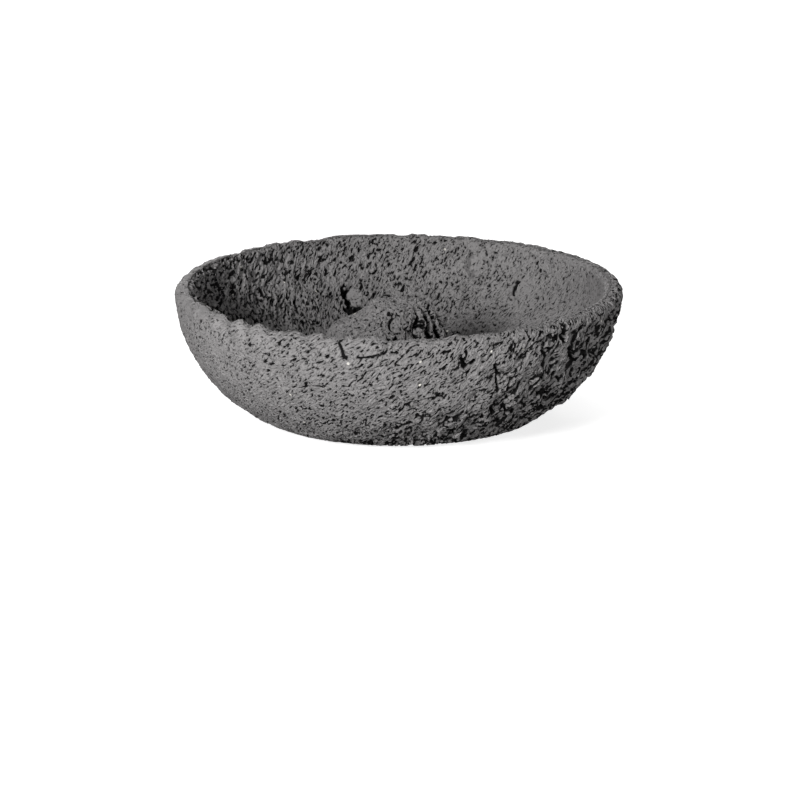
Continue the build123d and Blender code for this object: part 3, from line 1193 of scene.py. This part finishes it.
@dataclass
class Mound:
    """The rock mound that holds the stick, with the spigot under it.

    Outlines and the flank's rows give a height over the floor, how far the rock reaches to the left and
    right of the stick, and its depth from front to back. The splits, which the solid has too, give a
    turn, depth and half width; the grooves in them a turn, width, and lower and upper end.
    """

    floor_z: float = 7.5
    height: float = 17.6
    ring_corners: int = 32
    splits: int = 4
    face_share: float = 0.6
    bore_radius: float = 1.5
    bore_depth: float = 12.0
    spigot_radius: float = 8.0
    spigot_length: float = 2.5
    hold: float = 0.3
    outlines: tuple[tuple[float, float, float, float], ...] = (
        (0.0, 18.6, 12.4, 26.0), (12.0, 15.2, 9.8, 20.0), (14.0, 9.8, 8.7, 15.6), (17.6, 5.8, 7.0, 9.6))
    flank: tuple[tuple[float, float, float, float], ...] = (
        (0.0, 18.6, 12.4, 26.0), (0.3, 18.5, 12.3, 25.8), (4.0, 17.8, 11.9, 24.6), (8.0, 17.0, 11.3, 22.8),
        (10.6, 16.4, 10.5, 21.0), (12.3, 15.2, 9.9, 18.8), (13.3, 11.6, 9.3, 16.8), (14.6, 9.2, 8.6, 15.0),
        (15.9, 7.6, 7.7, 13.2), (16.9, 6.8, 6.9, 11.6), (17.5, 5.8, 5.8, 9.8), (17.6, 4.2, 4.2, 7.2))
    splits_down: tuple[Triple, ...] = (
        (-163, 0.9, 6), (-57, 1.0, 6), (-38, 1.7, 8), (-20, 1.1, 6), (25, 1.2, 8), (68, 1.0, 7))
    lump_dip: float = 0.7
    grooves: tuple[tuple[float, float, float, float], ...] = (
        (-163.0, 0.8, 12.0, 19.6), (-120.0, 0.4, 17.0, 21.0), (-76.0, 0.5, 18.0, 22.0),
        (-66.0, 0.5, 18.5, 23.0), (-57.0, 1.0, 12.0, 23.0), (-47.0, 0.4, 20.0, 24.0),
        (-38.0, 1.9, 12.0, 24.6), (-20.0, 1.2, 8.5, 23.4), (-8.0, 0.5, 8.5, 21.0),
        (25.0, 0.9, 9.0, 21.0), (68.0, 0.8, 10.0, 22.0), (100.0, 0.6, 12.0, 20.0))
    groove_depth: float = 1.6
    groove_sway: Table = ((0.2, 2.4), (0.06, 0.8))
    groove_end: float = 0.8
    groove_reach: float = 10.5
    craters: tuple[Crater, ...] = (
        Crater((-0.4, -7.6, 21.8), 2.1, 1.1), Crater((-1.2, -5.9, 23.2), 0.8, 0.8))
    ridged: Table = ((-180, 0.05), (-130, 0.1), (-100, 0.4), (-75, 1.0), (0, 1.0), (60, 0.6), (110, 0.3))
    rib_height: float = 0.4
    rib_count: float = 7.0
    rib_mm: float = 6.0
    lump_mm: float = 3.2
    lump_height: float = 0.4
    knob_mm: float = 1.4
    knob_height: Span = (0.3, 0.25)
    grit: Table = ((0.2, 0.7), (0.1, 0.4))
    highest: float = 0.1
    chip_mm: Triple = (0.9, 0.9, 1.5)
    chip_warp: Span = (0.25, 0.9)
    chip_level: Span = (0.46, 0.14)
    chip_depth: float = 0.5
    small_chip_mm: Triple = (0.5, 0.5, 0.8)
    small_chips: Span = (0.34, 0.3)
    foot_span: Span = (0.05, 1.0)
    bore_span: Span = (0.2, 1.6)

    def rings(self) -> list[tuple[float, float, float, float]]:
        """Lists the mound's outlines, from the spigot's end up and down into the bore.

        Returns:
            For each its height over the table, centre along X, half width and half depth.
        """
        _, foot_left, foot_right, _ = self.flank[0]
        spigot = (foot_right - foot_left) / 2
        top = self.floor_z + self.height
        low = self.floor_z - self.spigot_length
        rings = [(level, spigot, self.spigot_radius, self.spigot_radius)
                 for level in (low, low + self.hold, self.floor_z - 0.1)]
        for level, left, right, depth in self.flank:
            rings.append((self.floor_z + level, (right - left) / 2, (right + left) / 2, depth / 2))
        for level in (top, top - 0.5, top - self.bore_depth + self.hold, top - self.bore_depth):
            rings.append((level, 0.0, self.bore_radius, self.bore_radius))
        return rings

    def blank(self) -> bpy.types.Mesh:
        """Bridges the outlines into a closed shape and rounds it.

        Returns:
            The fine mesh, before any roughness.
        """
        shape = bmesh.new()
        loops = []
        for level, centre, half_width, half_depth in self.rings():
            place = Matrix.Translation((centre, 0, level)) @ Matrix.Diagonal((half_width, half_depth, 1, 1))
            made = bmesh.ops.create_circle(shape, cap_ends=False, segments=self.ring_corners, radius=1.0,
                                           matrix=place)
            loops.append(list(dict.fromkeys(edge for vertex in made["verts"] for edge in vertex.link_edges)))
        for lower, upper in zip(loops, loops[1:]):
            bmesh.ops.bridge_loops(shape, edges=lower + upper)
        for end in (loops[0], loops[-1]):
            bmesh.ops.contextual_create(shape, geom=end)
        bmesh.ops.recalc_face_normals(shape, faces=shape.faces[:])
        return modified(meshed(in_order(shape), "mound"), {
            "type": "SUBSURF", "levels": self.splits, "render_levels": self.splits})

    def build(self, material: bpy.types.Material) -> bpy.types.Object:
        """Makes the rough mound.

        Args:
            material: Its finish.

        Returns:
            The piece.
        """
        mesh = self.blank()
        place = rows_of_three(mesh.vertices, "co")
        normals = rows_of_three(mesh.vertex_normals, "vector")
        # The spigot, the foot and the bore stay smooth.
        free = ease(self.floor_z + self.foot_span[0], self.floor_z + self.foot_span[1], place[:, 2])
        near, far = (self.bore_radius + reach for reach in self.bore_span)
        free = free * ease(near, far, np.hypot(place[:, 0], place[:, 1]))
        lumps, cuts, dense = self.split(place)
        depth = (lumps + cuts) * free
        # Deep cuts get painted shade in black, and the whole rock the inner skin's darker painted shade.
        roughened(mesh, place - normals * depth[:, None], np.clip(cuts * free / BLACK_DEPTH, 0, 1), dense,
                  np.ones(len(place)), place / self.small_chip_mm)
        mesh = modified(mesh, {"type": "DECIMATE", "ratio": self.face_share})
        mesh.shade_smooth()
        mesh.set_sharp_from_angle(angle=SHARP_EDGE)
        return finished("rock_mound", mesh, material, ("stick_mound",))

    def split(self, place: np.ndarray) -> tuple[np.ndarray, np.ndarray, np.ndarray]:
        """Works out how deep the rock is split and eaten away at each point.

        Args:
            place: The points.

        Returns:
            The depth of the lumps and craters, that of the grooves and chips, and how dense the small
            chips are.
        """
        levels, left, right, depths = (np.array(column) for column in zip(*self.outlines))
        level = place[:, 2] - self.floor_z
        reach_left, reach_right = np.interp(level, levels, left), np.interp(level, levels, right)
        across = (place[:, 0] - (reach_right - reach_left) / 2) / ((reach_right + reach_left) / 2)
        angle = np.arctan2(place[:, 1] / (np.interp(level, levels, depths) / 2), across)
        # The lumps and splits of the solid
        fade = 0.6 + 0.4 * np.sin(math.pi * np.clip(level / self.height, 0, 1))
        dips = self.lump_dip * (1 - (np.sin(7 * angle + 1) + np.sin(11 * angle + 0.3 * level)) / 2) / 2
        for turn, sunk, half_width in self.splits_down:
            apart = wrapped(angle - math.radians(turn)) / math.radians(half_width)
            dips = dips + sunk * np.exp(-apart ** 2)
        ridged = around(angle, self.ridged)
        sway = sum(share * bumps(place / size) for share, size in self.groove_sway)
        grooves = np.zeros(len(place))
        for turn, width, low, high in self.grooves:
            apart = np.abs(wrapped(angle + sway - math.radians(turn))) * self.groove_reach
            span = ease(high + self.groove_end, high - self.groove_end, place[:, 2])
            span = span * ease(low - self.groove_end, low + self.groove_end, place[:, 2])
            grooves = np.maximum(grooves, span * ease(width / 2, width / 4, apart))
        chips, _ = flecks(warped(place / self.chip_mm, *self.chip_warp),
                          self.chip_level[0] - self.chip_level[1] * ridged)
        ribs = bumps(np.column_stack([
            angle * self.rib_count, np.zeros(len(place)), place[:, 2] / self.rib_mm]))
        lumps = fade * dips + self.lump_height * bumps(place / self.lump_mm) + self.rib_height * ridged * ribs
        lumps += (self.knob_height[0] + self.knob_height[1] * ridged) * bumps(place / self.knob_mm)
        lumps += sum(share * bumps(place / size) for share, size in self.grit)
        for crater in self.craters:
            x, _, z = crater.middle
            apart = np.linalg.norm(place - crater.middle, axis=1) / crater.radius
            slope = (0.4 * (place[:, 2] - z) + x - place[:, 0]) / crater.radius
            sunk = np.clip(0.5 + 0.5 * slope, 0.2, 1.0)
            lumps += crater.depth * ease(1.0, 0.75, apart) * sunk
            # A band along the crater's deeper brink is cut and painted black, as painted shadow.
            brink = ease(1.05, 0.95, apart) * ease(0.75, 0.88, apart) * ease(0.55, 0.85, sunk)
            chips = np.maximum(chips * ease(0.8, 1.0, apart), brink)
        cuts = np.maximum(self.groove_depth * grooves, self.chip_depth * chips)
        dense = self.small_chips[0] + self.small_chips[1] * ridged
        return np.maximum(lumps, -self.highest), cuts, dense


@dataclass
class FootPads:
    """The rubber pads under the base."""

    count: int = 3
    radius: float = 5.0
    thickness: float = 1.5
    circle: float = 19.3
    edge: float = 0.25
    corners: int = 64

    def build(self, material: bpy.types.Material) -> list[bpy.types.Object]:
        """Makes the pads.

        Args:
            material: Their finish.

        Returns:
            The pieces.
        """
        pads = []
        for number in range(self.count):
            turn = math.tau * number / self.count
            middle = (self.circle * math.cos(turn), self.circle * math.sin(turn), self.thickness / 2)
            shape = bmesh.new()
            bmesh.ops.create_cone(shape, cap_ends=True, segments=self.corners, radius1=self.radius,
                                  radius2=self.radius, depth=self.thickness,
                                  matrix=Matrix.Translation(middle))
            edges = [edge for edge in shape.edges if abs(edge.verts[0].co.z - edge.verts[1].co.z) < 1e-6]
            bmesh.ops.bevel(shape, geom=edges, offset=self.edge, affect="EDGES", segments=3, profile=0.5,
                            material=-1)
            bmesh.ops.scale(shape, vec=(MM, MM, MM), verts=shape.verts[:])
            name = f"foot_pad_{number + 1}"
            pads.append(finished(f"rubber_pad_{number + 1}", meshed(shape, "pad"), material,
                                 (name,)))
        return pads


@dataclass(frozen=True)
class Lamp:
    """A square soft lamp that faces the bowl: the way to it, its distance and side in metres, its watts."""

    name: str
    direction: Triple
    reach: float
    size: float
    power: float


@dataclass
class Studio:
    """The camera, the lamps and the white floor.

    The camera's values come from fitting the bowl's outline to the photograph's frame of 800 pixels.
    """

    distance: float = 1200.0
    elevation: float = 14.67
    target_z: float = 14.5
    pixels_per_mm: float = 4.566
    frame_pixels: float = 800.0
    target_pixel: Span = (399.0, 347.6)
    sensor: float = 36.0
    far_end: float = 100.0
    surround: float = 0.06
    paper: str = "#C8C8C8"
    paper_glow: float = 0.78
    floor_reach: float = 30.0
    floor_drop: float = 0.02
    lamps: tuple[Lamp, ...] = (
        Lamp("key", (-0.47, -0.8, 0.38), 0.7, 0.16, 5.0),
        Lamp("fill", (0.3, -0.93, 0.16), 0.9, 0.12, 3.0),
        Lamp("back", (-0.1, 0.98, 0.16), 0.8, 0.3, 6.5),
        Lamp("top", (0.1, 0.45, 0.9), 0.8, 0.4, 1.4),
    )

    def camera(self) -> None:
        """Adds the camera, so that the bowl lies where the photograph has it."""
        rise = math.radians(self.elevation)
        focal_pixels = self.distance * self.pixels_per_mm
        data = bpy.data.cameras.new("camera")
        data.sensor_width = self.sensor
        data.lens = self.sensor * focal_pixels / self.frame_pixels
        data.clip_end = self.far_end
        holder = placed("camera", data)
        half = self.frame_pixels / 2
        pitch = rise + math.atan((half - self.target_pixel[1]) / focal_pixels)
        yaw = math.atan((half - self.target_pixel[0]) / focal_pixels)
        holder.location = Vector((0, -self.distance * math.cos(rise),
                                  self.target_z + self.distance * math.sin(rise))) * MM
        holder.rotation_euler = (math.pi / 2 - pitch, 0, -yaw)
        bpy.context.scene.camera = holder

    def light(self, lamp: Lamp) -> None:
        """Adds a lamp.

        Args:
            lamp: Its place, size and power.
        """
        data = bpy.data.lights.new(lamp.name, "AREA")
        data.size = lamp.size
        data.energy = lamp.power
        holder = placed(lamp.name, data)
        towards = Vector(lamp.direction).normalized()
        holder.location = towards * lamp.reach + Vector((0, 0, self.target_z * MM))
        holder.rotation_euler = towards.to_track_quat("Z", "Y").to_euler()

    def world(self) -> None:
        """Makes the surroundings white to the camera and dim to the object."""
        world = bpy.data.worlds.new("studio")
        bpy.context.scene.world = world
        world.use_nodes = True
        tree = world.node_tree
        tree.nodes.clear()
        seen = node(tree, "ShaderNodeLightPath").outputs["Is Camera Ray"]
        strength = node(tree, "ShaderNodeMapRange", inputs={
            0: seen, 1: 0.0, 2: 1.0, 3: self.surround, 4: 1.0})
        background = node(tree, "ShaderNodeBackground", inputs={
            "Color": (1, 1, 1, 1), "Strength": strength.outputs[0]})
        node(tree, "ShaderNodeOutputWorld", inputs={0: background.outputs[0]})

    def floor(self) -> None:
        """Adds the floor, white to the camera except where the bowl shades it."""
        shape = bmesh.new()
        bmesh.ops.create_grid(shape, x_segments=1, y_segments=1, size=self.floor_reach,
                              matrix=Matrix.Translation((0, 0, -self.floor_drop * MM)))
        mesh = meshed(shape, "floor")
        # Matt white paper. To the camera it also glows, so that the lamps needn't be bright enough to
        # make it white.
        material, tree = blank_material("paper_white_backdrop")
        seen = node(tree, "ShaderNodeLightPath").outputs["Is Camera Ray"]
        paper = node(tree, "ShaderNodeBsdfDiffuse", inputs={"Color": linear(self.paper)})
        strength = node(tree, "ShaderNodeMapRange", inputs={
            0: seen, 1: 0.0, 2: 1.0, 3: 0.0, 4: self.paper_glow})
        glow = node(tree, "ShaderNodeEmission", inputs={
            "Color": (1, 1, 1, 1), "Strength": strength.outputs[0]})
        both = node(tree, "ShaderNodeAddShader", inputs={0: paper.outputs[0], 1: glow.outputs[0]})
        node(tree, "ShaderNodeOutputMaterial", inputs={0: both.outputs[0]})
        mesh.materials.append(material)
        floor = placed("floor", mesh)

    def build(self) -> None:
        """Sets the whole studio up."""
        bpy.context.scene.view_settings.view_transform = "Standard"
        self.camera()
        self.world()
        self.floor()
        for lamp in self.lamps:
            self.light(lamp)


def main() -> None:
    """Builds the pieces in order and reports each."""
    logging.basicConfig(level=logging.INFO, format="%(message)s")
    noise.seed_set(NOISE_SEED)
    # The hollow colour is the black of the painted shade in deep cuts, chips and pores.
    stone = StoneFinish("cast_stone_rough_mould", crust="#8C8A8A", patch="#7E7C7C", hollow="#0C0B0B",
                        speck="#DAD7D0")
    rock = StoneFinish("cast_stone_split", crust="#8A8888", patch="#7B7979", hollow="#0C0B0B",
                       speck="#BDBAB2")
    # Black rubber comes out of its mould matt, with a faint bloom.
    rubber = GrainedFinish("rubber_moulded_black", "#1C1C1C", "#2C2B2A", grain_mm=0.7, grain_detail=3.0,
                           grain_depth_mm=0.1, grain_strength=0.2, roughness=0.75, ior=1.52)
    # Cement mortar that was smeared flat is fine, pale and matt.
    mortar = GrainedFinish("cement_mortar_smeared", "#8C8A86", "#6F6D6A", grain_mm=0.5, grain_detail=4.0,
                           grain_depth_mm=0.2, grain_strength=0.5, roughness=0.95, ior=1.5)
    Bowl().build(stone.material())
    Mound().build(rock.material())
    FootPads().build(rubber.material())
    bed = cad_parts["mortar_bed"]
    bed.data.materials.clear()
    bed.data.materials.append(mortar.material())
    LOG.info("mortar_bed: kept from the frame")
    Studio().build()


if __name__ == "__main__":
    main()
